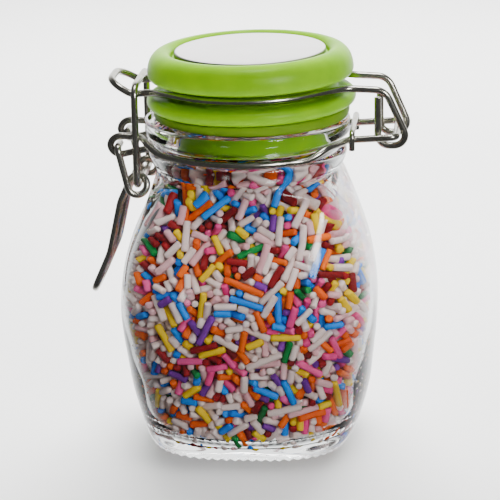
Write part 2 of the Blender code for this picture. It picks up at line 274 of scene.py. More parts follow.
def varied_roughness(tree, shader, source, low, high):
    """Let a pattern move the roughness between two values."""
    spread = node(tree, "ShaderNodeMapRange", {"To Min": low, "To Max": high}, Value=source)
    tree.links.new(spread.outputs["Result"], shader.inputs["Roughness"])


# %% [markdown]
# ### Glass
# Pressed soda-lime glass has a refractive index of 1.52. Light that meets a wall at a low angle can't
# leave it, and that makes the bright and dark lines at the jar's edges, so they come by themselves
# once the wall has its real thickness. Pressed glass also keeps a faint waviness from the mould, here
# 9 mm from wave to wave, which wobbles the reflections, and its lowest millimetre is stippled, so a
# little rough. Shadow rays pass straight through the glass: a path tracer finds small lights behind
# thick glass badly, and the contents would come out dark and noisy.


# %% Glass
STIPPLE_TOP_Z = 0.9
STIPPLE_FULL_Z = 0.2
STIPPLE_ROUGH = 0.30


def glass_finish():
    """Clear glass, smooth above the stippled foot, and see-through for shadow rays."""
    made, tree, shader = finish_named(
        "pressed soda-lime glass", Base_Color=linear("#FBFDFC"), IOR=1.52, Transmission_Weight=1.0)
    bumped(tree, shader, grain(tree, 9.0, 1.0), 0.10, 0.25)
    where = node(tree, "ShaderNodeTexCoord").outputs["Object"]
    height = node(tree, "ShaderNodeSeparateXYZ", _0=where).outputs["Z"]
    foot = {"From Min": STIPPLE_TOP_Z * MM, "From Max": STIPPLE_FULL_Z * MM, "To Max": STIPPLE_ROUGH}
    stipple = node(tree, "ShaderNodeMapRange", foot, Value=height)
    tree.links.new(stipple.outputs[0], shader.inputs["Roughness"])
    shadow = node(tree, "ShaderNodeLightPath").outputs["Is Shadow Ray"]
    clear = node(tree, "ShaderNodeBsdfTransparent", {"Color": linear("#F4F8F6")}).outputs[0]
    mix = node(tree, "ShaderNodeMixShader", None, _0=shadow, _1=shader.outputs[0], _2=clear)
    tree.links.new(mix.outputs[0], tree.nodes["Material Output"].inputs["Surface"])
    return made


soda_lime_glass = glass_finish()


# %% [markdown]
# ### Plastic, seal and steel
# The lid is moulded polypropylene: opaque, slightly waxy, so a little light spreads under its skin.
# Its fine mould texture takes most of the gloss away and leaves the rest soft and broad. The seal is a
# darker, duller strip of the same family of greens.
# The wire is drawn steel: bright, with fine marks that run along it. They follow the wire's own UV
# map, because a pattern on Object coordinates would not turn with the bends. Real draw marks are
# hundredths of a millimetre wide. Here they are 0.4 mm wide and 8 mm long, or none would show.
# The disc is satin steel sheet. Only a small share of it is treated as metal, because a full metal
# would show the dim room overhead. Its rolled edge gets hardly any light in the lid's narrow seat, so
# a painted shade darkens its colour there, by the distance from the lid's axis.


# %% Plastics
def moulded_finish(name, dark, light, low_rough, high_rough, waxy):
    """Two close greens in 6 mm clouds, roughness in 2.5 mm patches, and a 0.35 mm mould texture."""
    made, tree, shader = finish_named(
        name, IOR=1.49, Subsurface_Weight=waxy, Subsurface_Radius=(0.5, 1.0, 0.2),
        Subsurface_Scale=0.8 * MM, Specular_IOR_Level=0.14)
    cloud = grain(tree, 6.0, 4.0)
    tree.links.new(ramp_between(tree, dark, light, cloud, 0.3, 0.7), shader.inputs["Base Color"])
    varied_roughness(tree, shader, grain(tree, 2.5, 5.0), low_rough, high_rough)
    bumped(tree, shader, grain(tree, 0.35, 2.0), 0.10, 0.02)
    return made


lid_plastic = moulded_finish("green polypropylene", "#74AC00", "#80B700", 0.26, 0.38, 0.06)
seal_plastic = moulded_finish("green silicone seal", "#5C8200", "#668B00", 0.42, 0.55, 0.04)


# %% Steel
LID_X = 1.0  # the lid's axis stands this far towards the hinge
# painted shade on the disc: its colour falls from full here to a small share at the rolled edge
DISC_EDGE_R = 17.95
DISC_SHADE_FULL_R = 18.2
DISC_PAINTED_SHADE_SHARE = 0.04
MARKS_ALONG = 0.12  # noise cells for each millimetre of wire
MARKS_ROUND = 7.0  # and for each half turn round it


def wire_finish():
    """Bright steel with a faint stain in 5 mm clouds and draw marks that follow the wire."""
    made, tree, shader = finish_named("drawn steel wire", Metallic=1.0)
    stain = grain(tree, 5.0, 4.0, 0.6)
    tint = ramp_between(tree, "#B4B1A6", "#D6D3C8", stain, 0.3, 0.75)
    tree.links.new(tint, shader.inputs["Base Color"])
    where = node(tree, "ShaderNodeUVMap", {"uv_map": "along"}).outputs["UV"]
    stretch = {"Scale": (MARKS_ALONG, MARKS_ROUND, 1.0)}
    streaks = node(tree, "ShaderNodeMapping", stretch, Vector=where).outputs["Vector"]
    settings = {"Scale": 1.0, "Detail": 3.0, "Roughness": 0.6}
    lines = node(tree, "ShaderNodeTexNoise", settings, Vector=streaks).outputs["Fac"]
    varied_roughness(tree, shader, lines, 0.22, 0.29)
    bumped(tree, shader, lines, 0.03, 0.03)
    return made


def disc_finish():
    """Satin sheet with painted shade over its rolled edge, by the distance from the lid's axis."""
    made, tree, shader = finish_named("satin steel sheet", Metallic=0.3)
    cloud = grain(tree, 8.0, 3.0)
    tint = ramp_between(tree, "#F8F4F1", "#FDFAF8", cloud, 0.3, 0.7)
    where = node(tree, "ShaderNodeTexCoord").outputs["Object"]
    on_axis = {"Location": (-LID_X * MM, 0, 0), "Scale": (1, 1, 0)}
    flat = node(tree, "ShaderNodeMapping", on_axis, Vector=where).outputs["Vector"]
    far = node(tree, "ShaderNodeVectorMath", {"operation": "LENGTH"}, _0=flat).outputs["Value"]
    edge = {"From Min": DISC_EDGE_R * MM, "From Max": DISC_SHADE_FULL_R * MM}
    edge |= {"To Min": 1.0, "To Max": DISC_PAINTED_SHADE_SHARE}
    light = node(tree, "ShaderNodeMapRange", edge, Value=far).outputs["Result"]
    # painted shade: the tint is scaled down towards the rolled edge, which the lid's seat keeps in shade
    seat = node(tree, "ShaderNodeVectorMath", {"operation": "SCALE"}, _0=tint, Scale=light)
    tree.links.new(seat.outputs["Vector"], shader.inputs["Base Color"])
    varied_roughness(tree, shader, grain(tree, 0.5, 4.0), 0.26, 0.33)
    bumped(tree, shader, grain(tree, 0.22, 2.0), 0.03, 0.01)
    return made


steel_wire = wire_finish()
satin_steel = disc_finish()

# %% [markdown]
# ## The jar's wall
# The body is a rounded square in plan, the shape of a superellipse: |x/a|^n + |y/a|^n = 1. At each
# height it is given by two half widths, one across the flats and one across the corners, and n follows
# from the two. Where they agree the section is a circle, as at the neck. A subdivided cube could be
# pulled into this shape, but then no width of it would be known.

# %% Wall sections
# Each row is a height, the half width across the flats and the half width across the corners.
OUTER_WALL = (
    (0.75, 20.6, 22.6), (0.45, 22.4, 24.9), (0.4, 24.4, 27.6), (2.0, 26.1, 28.6), (4.5, 27.2, 29.0),
    (9.0, 28.6, 30.0), (14.0, 29.8, 31.3), (21.0, 30.5, 32.8), (28.0, 31.25, 34.3), (35.0, 31.5, 35.3),
    (42.0, 30.7, 35.3), (49.0, 29.2, 33.9), (56.0, 26.6, 31.9), (60.5, 24.2, 30.9), (63.5, 22.9, 29.9),
    (65.8, 22.4, 27.2), (67.4, 22.2, 22.7), (68.4, 22.5, 22.5), (69.6, 23.4, 23.4), (71.0, 23.9, 23.9),
    (72.2, 24.15, 24.15), (72.9, 23.7, 23.7), (73.1, 22.5, 22.5), (75.2, 22.5, 22.5), (75.7, 23.1, 23.1),
    (76.7, 24.7, 24.7), (77.5, 25.0, 25.0), (79.4, 24.95, 24.95), (80.4, 24.8, 24.8), (80.5, 23.4, 23.4),
)
INNER_WALL = (
    (80.5, 21.0, 21.0), (80.2, 19.9, 19.9), (78.8, 19.8, 19.8), (72.0, 19.8, 19.8), (68.2, 19.8, 19.8),
    (65.5, 19.9, 22.8), (62.5, 20.8, 26.6), (59.0, 22.5, 28.4), (54.0, 25.4, 30.4), (48.0, 27.8, 32.2),
    (41.0, 29.4, 33.8), (33.0, 30.1, 33.8), (25.0, 29.4, 32.4), (17.0, 28.2, 30.4), (10.0, 26.7, 28.5),
    (7.0, 25.7, 27.5), (5.2, 24.3, 26.2), (3.8, 22.6, 24.6), (3.4, 19.6, 21.5),
)
SQUARE_SECTORS = 432


def square_reach(x, y, face, corner):
    """Distance from the axis: r = face (|x/d|^n + |y/d|^n)^(-1/n), n = 1 / (1/2 - log2(corner/face))."""
    corner = np.maximum(corner, face)
    power = 1 / (0.5 - np.log2(corner / face))
    far = np.hypot(x, y) + 1e-9
    return face * ((np.abs(x) / far) ** power + (np.abs(y) / far) ** power) ** (-1 / power)


INNER_Z, INNER_FACE, INNER_CORNER = softened(INNER_WALL)[::-1].T
print("wall sections:", len(OUTER_WALL), "outside,", len(INNER_WALL), "inside")

# %% [markdown]
# Under the bottom edge runs a ring of small beads, pressed into the glass so that the hot jar stands
# on points and not on its whole rim. Single beads would have to be fused to the wall, so they are a
# wave in the wall's own height, a little over 2 mm from bead to bead.

# %% Glass jar
BEADS = 72
BEAD_LINE = (24.2, 27.3)
BEAD_HALF_WIDTH = 0.8
BEAD_BELOW_Z = 1.6
BEAD_DEPTH = 0.5


def wall_rings(line):
    """Rings of points round each section of a wall line."""
    angles = full_turn(SQUARE_SECTORS)[None, :]
    along_x, along_y = np.cos(angles), np.sin(angles)
    reach = square_reach(along_x, along_y, line[:, 1, None], line[:, 2, None])
    z = np.broadcast_to(line[:, 0, None], reach.shape)
    return np.stack([reach * along_x, reach * along_y, z], axis=-1)


def glass_jar():
    """Underside, outer wall, rim, inner wall and floor as one line, carried round the axis.

    The beads: z - depth exp(-(distance to the bead line / half width)^2) ((1 + cos(n angle)) / 2)^0.8.
    """
    under = [(0.8, r, r) for r in (0.5, 6.0, 12.0)] + [(0.75, 16.0, 16.4), (0.65, 18.8, 20.0)]
    floor = [(3.35, 15.0, 15.3), (3.3, 9.0, 9.0), (3.3, 4.0, 4.0), (3.3, 0.5, 0.5)]
    control = np.array(under + list(OUTER_WALL) + list(INNER_WALL) + floor)
    grid = wall_rings(softened(control))
    x, y, z = grid[..., 0], grid[..., 1], grid[..., 2]
    angle = np.arctan2(y, x)
    place = np.hypot(x, y) - square_reach(x, y, *BEAD_LINE)
    near_edge = np.exp(-(place / BEAD_HALF_WIDTH) ** 2) * (z < BEAD_BELOW_Z)
    wave = (0.5 + 0.5 * np.cos(BEADS * angle)) ** 0.8
    grid[..., 2] = np.maximum(z - BEAD_DEPTH * near_edge * wave, 0.0)
    return skin("glass_jar_smooth", grid)


add_piece("glass_jar_smooth", glass_jar(), soda_lime_glass, "soda_lime_glass", "glass_jar")

# %% [markdown]
# ## Lid, disc and seal
# The lid is a moulding in one piece: two fat rings with a groove for the wire between them, and a plug
# that goes down into the mouth. It is pulled 1.1 degrees lower on its latch side and sits a millimetre
# towards the hinge, so its rings are turned level first, then tilted about the groove and moved. A
# Screw modifier would turn the same outline, but the tilt would stay on the object, not in its mesh.

# %% Turned pieces
LID_TILT = radians(1.1)
LID_GROOVE_Z = 88.7


def tilted(grid, angle=LID_TILT):
    """x' = x cos t - z sin t + lid's shift, z' = x sin t + z cos t, with z counted from the groove."""
    x = grid[..., 0]
    z = grid[..., 2] - LID_GROOVE_Z
    across = x * cos(angle) - z * sin(angle) + LID_X
    return np.stack([across, grid[..., 1], x * sin(angle) + z * cos(angle) + LID_GROOVE_Z], axis=-1)


def lid_body():
    """Plug, seat, lower ring, wire groove, upper ring and the recess for the disc."""
    control = [
        (0.5, 75.3), (12.0, 75.3), (16.8, 75.0), (17.8, 75.0), (18.0, 75.8), (18.0, 83.0),
        (18.2, 83.35), (19.5, 83.4), (22.6, 83.4), (23.75, 83.3), (24.6, 83.7), (25.2, 84.4),
        (25.35, 85.3), (25.05, 86.2), (24.3, 86.8), (23.2, 87.05), (21.6, 87.15), (20.75, 87.45),
        (20.7, 89.9), (21.4, 90.2), (22.8, 90.25), (24.0, 90.5), (24.75, 91.1), (24.95, 92.1),
        (24.75, 93.7), (24.2, 95.3), (23.1, 96.6), (21.7, 97.25), (20.6, 97.3), (19.8, 96.9),
        (19.2, 96.3), (18.95, 95.7), (18.95, 95.2), (12.0, 95.15), (0.5, 95.15),
    ]
    return skin("lid_moulding", tilted(turned(softened(control))))


def lid_disc():
    """A slightly crowned sheet with a rolled edge."""
    control = [
        (0.5, 95.4), (12.0, 95.4), (17.6, 95.4), (18.2, 95.5), (18.3, 95.8), (18.3, 96.5),
        (18.25, 96.85), (18.0, 97.0), (17.0, 97.2), (15.0, 97.4), (11.0, 97.52), (0.5, 97.6),
    ]
    return skin("lid_disc_sheet", tilted(turned(softened(control), sectors=160)))


add_piece("lid_moulding", lid_body(), lid_plastic, "green_polypropylene", "lid")
add_piece("lid_disc_sheet", lid_disc(), satin_steel, "satin_steel_disc", "lid_disc")


# %% Seal
def seal_ring():
    """A wedge: its foot lies level on the glass rim and its top follows the tilted lid."""
    low, high = 80.65, 83.3
    section = softened([
        (19.3, low), (20.5, low), (22.6, low), (23.35, low + 0.15), (23.7, low + 0.8),
        (23.75, high - 0.8), (23.6, high - 0.1), (22.0, high), (19.3, high),
    ], ring=True)
    ring = turned(section)
    share = ((ring[..., 2] - low) / (high - low))[..., None]
    return skin("seal_ring", tilted(ring, 0.0) * (1 - share) + tilted(ring) * share, ring=True)


add_piece("seal_ring", seal_ring(), seal_plastic, "green_seal", "lid_seal")

# %% [markdown]
# ## The wire closure
# All but the thin tie is one gauge of wire, 1.7 mm thick, bent cold. A bend is a circular arc between
# two straight runs. The line is then cut into even steps and smoothed a little, as the spring of real
# wire does, and a round section is carried along it without twist. A bevelled curve could draw the
# same wire, but not its domed ends or the map for its draw marks.

# %% Wire tools
WIRE_R = 0.85
LAY = 2.0  # from middle to middle of two wires that lie side by side


def bent(corners, closed=False, arc_steps=10):
    """Middle line of a wire: straight runs with each corner (x, y, z, radius) rounded by an arc."""
    knots = [(Vector(c[:3]), c[3]) for c in corners]
    last = len(knots) - 1
    line = []
    for i, (here, radius) in enumerate(knots):
        if radius == 0 or (not closed and i in (0, last)):
            line.append(here)
            continue
        back = (knots[i - 1][0] - here).normalized()
        ahead = (knots[(i + 1) % len(knots)][0] - here).normalized()
        half = back.angle(ahead) / 2
        reach = radius / tan(half)
        centre = here + (back + ahead).normalized() * (radius / sin(half))
        start = here + back * reach - centre
        end = here + ahead * reach - centre
        turn = start.angle(end)
        for step in range(arc_steps + 1):
            t = step / arc_steps
            line.append(centre + (start * sin((1 - t) * turn) + end * sin(t * turn)) / sin(turn))
    return np.array([tuple(p) for p in line])


def even(line, closed, step=0.4, soften=2):
    """Points at even steps along a line, each then averaged with its neighbours a few times."""
    if closed:
        line = np.concatenate([line, line[:1]])
    runs = np.concatenate([[0], np.cumsum(np.linalg.norm(np.diff(line, axis=0), axis=1))])
    count = int(runs[-1] / step)
    at = np.linspace(0, runs[-1], count + 1)
    if closed:
        at = at[:-1]
    spots = np.stack([np.interp(at, runs, line[:, k]) for k in range(3)], axis=-1)
    for _ in range(soften):
        mean = 0.5 * spots + 0.25 * (np.roll(spots, 1, axis=0) + np.roll(spots, -1, axis=0))
        if not closed:
            mean[0], mean[-1] = spots[0], spots[-1]
        spots = mean
    return spots


def carried_frames(line, closed):
    """Directions along a line, two directions across it that turn as little as they can, and slip.

    Each across is the last one with its part along the line taken away. The slip is the angle by
    which a closed line's last across misses its first.
    """
    if closed:
        ways = np.roll(line, -1, axis=0) - np.roll(line, 1, axis=0)
    else:
        ways = np.gradient(line, axis=0)
    ways /= np.linalg.norm(ways, axis=1)[:, None]
    side = np.cross(ways[0], (0.3, 0.5, 0.81))  # any direction that no wire starts along
    across = np.empty_like(line)
    for i, way in enumerate(ways):
        side = side - way * (side @ way)
        side = side / np.linalg.norm(side)
        across[i] = side
    slip = 0.0
    if closed:
        home = side - ways[0] * (side @ ways[0])
        home = home / np.linalg.norm(home)
        slip = np.arctan2(np.cross(home, across[0]) @ ways[0], home @ across[0])
    return ways, across, np.cross(ways, across), slip


def wire_mesh(name, line, closed=False, sides=18, radius=WIRE_R):
    """Section points = line + r (cos a across + sin a over); three rings dome each open end."""
    line = even(line, closed)
    ways, across, over, slip = carried_frames(line, closed)
    count = len(line)
    size = np.full(count, radius)
    if not closed:
        dome = radius * np.array([0.55, 0.85, 0.98])
        step = radius * np.array([0.30, 0.22, 0.10])
        head = line[0] - np.outer(step, ways[0])
        tail = line[-1] + np.outer(step[::-1], ways[-1])
        line = np.concatenate([head, line, tail])
        across = np.pad(across, ((3, 3), (0, 0)), "edge")
        over = np.pad(over, ((3, 3), (0, 0)), "edge")
        size = np.concatenate([dome, size, dome[::-1]])
        count = len(line)
    spin = full_turn(sides)[None, :] + slip * np.arange(count)[:, None] / count
    wide = size[:, None, None] * np.cos(spin)[..., None] * across[:, None, :]
    high = size[:, None, None] * np.sin(spin)[..., None] * over[:, None, :]
    grid = line[:, None, :] + wide + high
    mesh = skin(name, grid, ring=closed)
    label_along(mesh, line, sides)
    return mesh


def label_along(mesh, line, sides):
    """A UV map named along: u is the distance down the wire in mm, v goes 1 to 0 to 1 round it."""
    runs = np.concatenate([[0], np.cumsum(np.linalg.norm(np.diff(line, axis=0), axis=1))])
    corners = np.empty(len(mesh.loops), dtype=np.int32)
    mesh.loops.foreach_get("vertex_index", corners)
    row = np.minimum(corners // sides, len(line) - 1)
    u = runs[row]
    v = np.abs((corners % sides) / sides - 0.5) * 2
    layer = mesh.uv_layers.new(name="along")
    layer.data.foreach_set("uv", np.stack([u, v], axis=-1).astype(np.float32).ravel())


def mirrored(corners):
    """The same corners on the far side, in the opposite order."""
    return [(x, -y, z, r) for x, y, z, r in reversed(corners)]


def ease(t):
    """0 to 1 along 3 t^2 - 2 t^3."""
    t = min(max(t, 0.0), 1.0)
    return t * t * (3 - 2 * t)


# %% [markdown]
# ### Neck ring and tie
# The ring lies in the neck's groove at the front and back. At the hinge it climbs over the collar and
# makes a square end whose far bar is the hinge. At the latch each side makes an eye for the lever.
# A short tie hooks over the two hinge strands and keeps them from spreading. Only the front half is
# written down. The far half is its mirror image, as in the bail and the lever.

# %% Neck ring
GROOVE_Z = 74.0
RING_R = 23.8
STRAND_Y = 8.6
HINGE_X = 36.3
HINGE_Z = 77.3
EYE_Y = 8.1
CLIMB = 2.6


def neck_ring():
    """Radius + out and height + climb: both ease in towards the hinge and towards the latch."""
    front = []
    for azimuth in range(-23, -161, -3):
        out = 2.35 * ease((azimuth + 60) / 20) + 2.15 * ease((-132 - azimuth) / 24)
        rise = ease((azimuth + 54) / 18) + ease((-138 - azimuth) / 22)
        a = radians(azimuth)
        front.append(((RING_R + out) * cos(a), (RING_R + out) * sin(a), GROOVE_Z + CLIMB * rise, 0))
    hinge = [
        (HINGE_X, 0.0, HINGE_Z, 0), (HINGE_X, -STRAND_Y, HINGE_Z, 1.5),
        (25.0, -STRAND_Y, GROOVE_Z + CLIMB, 1.6),
    ]
    eye = [
        (-25.4, -EYE_Y, 76.9, 0.8), (-32.5, -EYE_Y, 77.2, 2.4), (-32.5, -EYE_Y, 71.9, 2.4),
        (-25.6, -EYE_Y, 73.6, 3.0), (-22.6, -EYE_Y, GROOVE_Z, 1.5),
    ]
    side = [(RING_R * cos(a), RING_R * sin(a), GROOVE_Z, 0) for a in map(radians, range(-170, -191, -5))]
    near = hinge + front + eye
    return wire_mesh("neck_ring_wire", bent(near + side + mirrored(near[1:]), True), True)


TIE_R = 0.7
TIE_X = 25.9
TIE_END_Z = 74.6
TIE_SLACK = 0.3


def ring_tie():
    """A square bridge over both strands, with its two ends hanging down outside them."""
    beside = WIRE_R + TIE_SLACK + TIE_R
    over_z = GROOVE_Z + 2.7 + beside
    out_y = STRAND_Y + beside
    near = [(TIE_X, -out_y, TIE_END_Z, 0), (TIE_X, -out_y, over_z, 1.3)]
    return wire_mesh("ring_tie_wire", bent(near + mirrored(near)), radius=TIE_R)


add_piece("neck_ring_wire", neck_ring(), steel_wire, "steel_wire", "neck_ring")
add_piece("ring_tie_wire", ring_tie(), steel_wire, "steel_wire", "ring_tie")

# %% [markdown]
# ### Bail
# One long wire. It starts in a hook under the hinge bar, comes up beside the lid, runs round the lid's
# groove at the front, makes the upturned nose that the link catches, and goes back on the far side.

# %% Bail
BAIL_R = 22.0
HOOK_Y = STRAND_Y - LAY


def bail_hook(end_z):
    """From the corner over the hinge down round the hinge bar and up again to a free end."""
    return [
        (24.6, -7.6, 88.9, 5.0), (33.7, -7.5, 88.5, 3.8), (39.8, -HOOK_Y, 74.8, 2.6),
        (31.9, -HOOK_Y, 74.8, 2.6), (31.9, -HOOK_Y, end_z, 0),
    ]


def bail():
    """Nose, quarter turn in the tilted groove, hook; then the same on the far side."""
    nose = [
        (-32.4, 0.0, 90.3, 0), (-32.4, -7.3, 90.3, 4.6), (-27.0, -7.85, 87.3, 3.0),
        (-22.2, -7.9, 87.8, 4.5),
    ]
    groove = []
    for azimuth in np.linspace(-135, -45, 31):
        a = radians(azimuth)
        x = BAIL_R * cos(a)
        groove.append((x + LID_X, BAIL_R * sin(a), LID_GROOVE_Z + x * tan(LID_TILT), 0))
    near = nose + groove + bail_hook(86.4)
    far = nose + groove + bail_hook(84.5)
    return wire_mesh("bail_wire", bent(mirrored(far[1:]) + near))


add_piece("bail_wire", bail(), steel_wire, "steel_wire", "bail")

# %% [markdown]
# ### Lever and link
# The lever's ends sit in the ring's eyes. Each side goes down, makes almost one turn round the link's
# lower bar, and the two join in a long looped handle. The link is a plain closed loop. Each curl is
# written as a circle, because rounded corners would leave it lumpy.

# %% Lever and link
PIVOT_X = -30.5
PIVOT_Z = 74.75
CURL_X = -26.0
CURL_Z = 65.2
CURL_R = 2.25
CURL_START = 194
CURL_TURN = 326
CURL_INWARDS = 2.9
LINK_Y = 10.3
LINK_TOP_Z = 89.5
LEVER_Y = LINK_Y + 0.15


def latch_lever():
    """The curl is a circle in x and z whose y eases inwards as it turns."""
    curl = []
    for angle in np.linspace(CURL_START, CURL_START + CURL_TURN, 44):
        t = (angle - CURL_START) / CURL_TURN
        a = radians(float(angle))
        y = -LEVER_Y + CURL_INWARDS * ease(t * 1.15 - 0.1)
        curl.append((CURL_X + CURL_R * cos(a), y, CURL_Z + CURL_R * sin(a), 0))
    start = [(PIVOT_X, -5.6, PIVOT_Z, 0), (PIVOT_X, -LEVER_Y, PIVOT_Z, 1.3)]
    handle = [(-30.7, -7.4, 60.3, 5.0), (-33.7, -7.3, 47.3, 14.0), (-38.3, -7.0, 37.1, 4.0)]
    near = start + curl + handle
    return wire_mesh("latch_lever_wire", bent(near + mirrored(near)))


def latch_link():
    """An upright loop: two strands, the bar in the curls and the bar over the nose."""
    near = [(CURL_X, -LINK_Y, CURL_Z, 1.5), (CURL_X, -LINK_Y, LINK_TOP_Z, 2.9)]
    return wire_mesh("latch_link_wire", bent(near + mirrored(near), True), True)


add_piece("latch_lever_wire", latch_lever(), steel_wire, "steel_wire", "latch_lever")
add_piece("latch_link_wire", latch_link(), steel_wire, "steel_wire", "latch_link")

# %% [markdown]
# ## The sprinkles
# Real sprinkles are an extruded sugar dough, about 1.8 mm thick, broken into short lengths with
# blunt ends. Poured into a jar they jam at random, and the ones at the glass lie against it.
# A physics simulation of thousands of rods would take long, so they are packed by a shortcut: the rods
# start at random in a shell inside the glass, and then, again and again, each pair that overlaps is
# pushed apart and each rod that leaves the shell is pushed back. After some rounds hardly any overlap
# is left, and the rods lie as a real heap does.

# %% Room for the sprinkles
FLOOR_Z = 3.4
FILL_TOP_Z = 73.3
ROD_R = 0.88
SHELL = 5.0  # how deep behind the glass a rod's ends and middle may lie
TOUCH = 0.015  # a rod may enter the glass this far, so that no air gap shows between them


def room(points):
    """Distance in mm to the nearest of wall, floor and heap's top; below zero outside."""
    x, y, z = points.T
    face = np.interp(z, INNER_Z, INNER_FACE)
    corner = np.interp(z, INNER_Z, INNER_CORNER)
    wall = square_reach(x, y, face, corner) - np.hypot(x, y)
    return np.minimum(np.minimum(wall, z - FLOOR_Z), FILL_TOP_Z - z)


def room_slope(points, step=0.15):
    """Gradient of the room by central differences."""
    slope = np.empty_like(points)
    for k in range(3):
        shift = np.zeros(3)
        shift[k] = step
        slope[:, k] = (room(points + shift) - room(points - shift)) / (2 * step)
    return slope


# %% [markdown]
# To find overlapping pairs quickly, space is cut into cells, each rod is filed under its cell's
# number, and only rods in neighbouring cells are compared.


# %% Packing
def close_pairs(centres, reach):
    """Numbers i, j of all rods whose centres are nearer than the sum of their reaches."""
    cell = 2 * reach.max()
    spot = np.floor((centres - centres.min(axis=0)) / cell).astype(np.int64) + 1
    wide = spot.max(axis=0) + 2
    key = (spot[:, 0] * wide[1] + spot[:, 1]) * wide[2] + spot[:, 2]
    order = np.argsort(key, kind="stable")
    filed = key[order]
    found = []
    later_cells = [cell for cell in product((-1, 0, 1), repeat=3) if cell >= (0, 0, 0)]
    for a, b, c in later_cells:
        wanted = key + (a * wide[1] + b) * wide[2] + c
        low = np.searchsorted(filed, wanted, "left")
        count = np.searchsorted(filed, wanted, "right") - low
        i = np.repeat(np.arange(len(centres)), count)
        inside = np.arange(count.sum()) - np.repeat(np.cumsum(count) - count, count)
        j = order[np.repeat(low, count) + inside]
        near = np.linalg.norm(centres[i] - centres[j], axis=1) < reach[i] + reach[j]
        if (a, b, c) == (0, 0, 0):
            near &= i < j
        found.append(np.stack([i[near], j[near]]))
    return np.concatenate(found, axis=1)


def nearest_on_rods(a1, b1, a2, b2):
    """Shares s and t along two sets of segments where they come closest.

    s = (d1.d2 d2.gap - d1.gap d2.d2) / (d1.d1 d2.d2 - (d1.d2)^2), t follows from s, both held in 0 to 1.
    """
    d1, d2, gap = b1 - a1, b2 - a2, a1 - a2
    len1 = np.einsum("ij,ij->i", d1, d1) + 1e-12
    len2 = np.einsum("ij,ij->i", d2, d2) + 1e-12
    on2 = np.einsum("ij,ij->i", d2, gap)
    on1 = np.einsum("ij,ij->i", d1, gap)
    both = np.einsum("ij,ij->i", d1, d2)
    spread = len1 * len2 - both * both
    crossing = np.clip((both * on2 - on1 * len2) / np.maximum(spread, 1e-9), 0, 1)
    s = np.where(spread > 1e-9, crossing, 0.5)
    free = (both * s + on2) / len2
    t = np.clip(free, 0, 1)
    return np.where(free != t, np.clip((both * t - on1) / len1, 0, 1), s), t


PUSH = 0.45  # share of an overlap that one round takes away


def push_apart(start, end, pairs):
    """Move rod ends so that overlapping pairs part, each end by its share of the contact."""
    i, j = pairs
    s, t = nearest_on_rods(start[i], end[i], start[j], end[j])
    gap = start[i] + (end[i] - start[i]) * s[:, None] - start[j] - (end[j] - start[j]) * t[:, None]
    far = np.linalg.norm(gap, axis=1)
    hit = (far < 2 * ROD_R) & (far > 1e-6)
    i, j, s, t, gap, far = i[hit], j[hit], s[hit], t[hit], gap[hit], far[hit]
    overlap = 2 * ROD_R - far
    share = (1 - s) ** 2 + s ** 2 + (1 - t) ** 2 + t ** 2
    move = gap * (PUSH * overlap / share / far)[:, None]
    count = len(start)
    for ends, share_i, share_j in ((start, 1 - s, 1 - t), (end, s, t)):
        for k in range(3):
            forth = np.bincount(i, move[:, k] * share_i, count)
            back = np.bincount(j, move[:, k] * share_j, count)
            ends[:, k] += forth - back
    return overlap


def keep_in_shell(start, end):
    """Push ends and middles that leave the shell back along the gradient of the room."""
    for shares in ((1, 0), (0, 1), (0.5, 0.5)):
        spots = start * shares[0] + end * shares[1]
        left = room(spots)
        wrong = np.maximum(ROD_R - TOUCH - left, 0) - np.maximum(left - SHELL, 0)
        out = wrong != 0
        slope = room_slope(spots[out])
        move = slope * (wrong[out] / np.maximum(np.einsum("ij,ij->i", slope, slope), 0.1))[:, None]
        start[out] += move * (shares[0] > 0)
        end[out] += move * (shares[1] > 0)


SEED = 11
USUAL_LENGTH = 3.1
LENGTH_SPREAD = 0.46
SHORTEST = 0.6
LONGEST = 8.4
BOX_HALF = 33
ROUNDS_PER_SEARCH = 8


def packed_rods(count, rounds):
    """Start points, end points and the random draw, after rounds of pushing apart and back."""
    draw = np.random.default_rng(SEED)
    length = draw.lognormal(np.log(USUAL_LENGTH), LENGTH_SPREAD, count).clip(SHORTEST, LONGEST)
    low, high = (-BOX_HALF, -BOX_HALF, FLOOR_Z), (BOX_HALF, BOX_HALF, FILL_TOP_Z)
    spots = draw.uniform(low, high, (count * 8, 3))
    left = room(spots)
    spots = spots[(left > ROD_R) & (left < SHELL)][:count]
    way = draw.normal(size=(count, 3))
    way /= np.linalg.norm(way, axis=1)[:, None]
    start = spots - way * length[:, None] / 2
    end = spots + way * length[:, None] / 2
    for turn in range(rounds):
        if turn % ROUNDS_PER_SEARCH == 0:
            pairs = close_pairs((start + end) / 2, length / 2 + ROD_R + 0.4)
        overlap = push_apart(start, end, pairs)
        keep_in_shell(start, end)
        middle = (start + end) / 2
        way = end - start
        way *= (length / np.linalg.norm(way, axis=1) / 2)[:, None]
        start, end = middle - way, middle + way
    print(f"{count} rods after {rounds} rounds: overlap {overlap.mean():.3f} mm on average")
    return start, end, draw


RODS = 4000
rod_start, rod_end, draw = packed_rods(RODS, 150)

# %% [markdown]
# Each rod is a small closed mesh of eight sides: a point, three rings that round the end, a middle
# ring that lets long ones bend a little, and the same again. One mesh shown four thousand times would
# be lighter, but stretching it to each length would stretch its round ends. All rods of a colour are
# one piece. Each rod carries a number from 0 to 1, which the material turns into its own tone.

# %% Rod meshes
ROD_SIDES = 8
RING_SHARE = np.array([0.0, 0.0, 0.0, 0.5, 1.0, 1.0, 1.0])  # place of each ring along the rod
RING_BEYOND = np.array([-0.80, -0.66, -0.15, 0.0, 0.15, 0.66, 0.80])  # and past it, in radii
RING_SIZE = np.array([0.70, 0.93, 1.0, 1.0, 1.0, 0.93, 0.70])  # and its width, in radii


